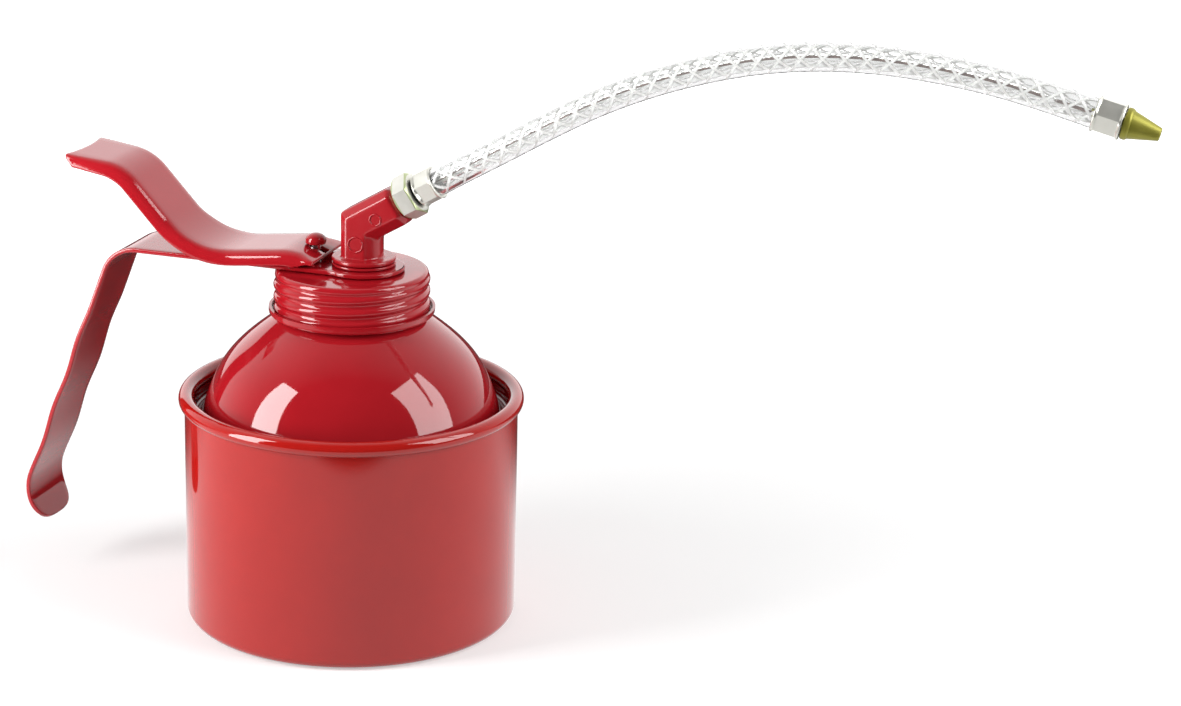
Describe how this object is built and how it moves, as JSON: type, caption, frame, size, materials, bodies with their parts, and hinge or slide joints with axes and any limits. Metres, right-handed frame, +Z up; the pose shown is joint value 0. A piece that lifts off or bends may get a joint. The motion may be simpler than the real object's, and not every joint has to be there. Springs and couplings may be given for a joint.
{
  "type": "pump oil can",
  "caption": "Hand pump oil can: round steel can with a domed top, screw cap, grip strip, thumb lever, cast elbow and a braided hose that ends in a cone nozzle.",
  "frame": {"origin": "centre of the can's flat bottom, on the surface that it stands on", "axes": "+Z up along the can's axis, +X towards the spout, -X towards the grip"},
  "size_m": [0.3255, 0.0994, 0.1815],
  "materials": {
    "red_paint": "glossy red enamel",
    "black_rubber": "matt black",
    "plain_steel": "turned, bright",
    "red_fibre": "vulcanised fibre sheet",
    "cup_leather": "oiled leather",
    "pump_brass": "turned, bright",
    "zinc_plate": "bright zinc plate",
    "yellow_chromate": "yellow chromate over zinc plate",
    "braided_hose": "clear PVC over a white braid"
  },
  "bodies": {
    "can": {"can_cup": "red_paint", "can_dome": "red_paint"},
    "gasket": {"cap_gasket": "black_rubber"},
    "pump_head": {"screw_cap": "red_paint", "grip_handle": "red_paint", "pump_block": "plain_steel", "block_gasket": "red_fibre", "rod_packing": "black_rubber", "rod_gland": "pump_brass", "pump_barrel": "pump_brass", "return_spring": "plain_steel", "foot_valve": "pump_brass", "ball_cage": "pump_brass", "suction_tube": "plain_steel", "suction_strainer": "pump_brass", "spout_elbow": "red_paint", "elbow_washer": "red_fibre", "outlet_stud": "plain_steel", "hose_fitting": "zinc_plate", "lower_ferrule": "zinc_plate", "hose": "braided_hose", "upper_ferrule": "zinc_plate", "nozzle": "yellow_chromate"},
    "lever": {"thumb_lever": "red_paint"},
    "plunger": {"piston_rod": "plain_steel", "piston": "pump_brass", "piston_cup": "cup_leather", "piston_nut": "plain_steel"},
    "inlet_ball": {"foot_ball": "plain_steel"}
  },
  "joints": [
    {"name": "cap_unscrew", "type": "hinge", "parent": "can", "child": "gasket", "pos_m": [0, 0, 0.102], "axis": [0, 0, 1], "range_deg": [0, 905]},
    {"name": "cap_lift", "type": "slide", "parent": "gasket", "child": "pump_head", "axis": [0, 0, 1], "range_m": [0, 0.009]},
    {"name": "lever_press", "type": "hinge", "parent": "pump_head", "child": "lever", "pos_m": [-0.036, 0, 0.1053], "axis": [0, -1, 0], "range_deg": [0, 16], "stiffness_Nm_per_rad": 0.65, "springref_deg": -9.17},
    {"name": "plunger_lift", "type": "slide", "parent": "pump_head", "child": "plunger", "axis": [0, 0, 1], "range_m": [0, 0.006], "deforming": ["return_spring"]},
    {"name": "inlet_ball_lift", "type": "slide", "parent": "pump_head", "child": "inlet_ball", "axis": [0, 0, 1], "range_m": [0, 0.0012]}
  ],
  "couplings": [
    {"joint": "cap_unscrew", "follows": "cap_lift", "rad_per_m": 1745.3},
    {"joint": "plunger_lift", "follows": "lever_press", "m_per_rad": 0.0212}
  ]
}
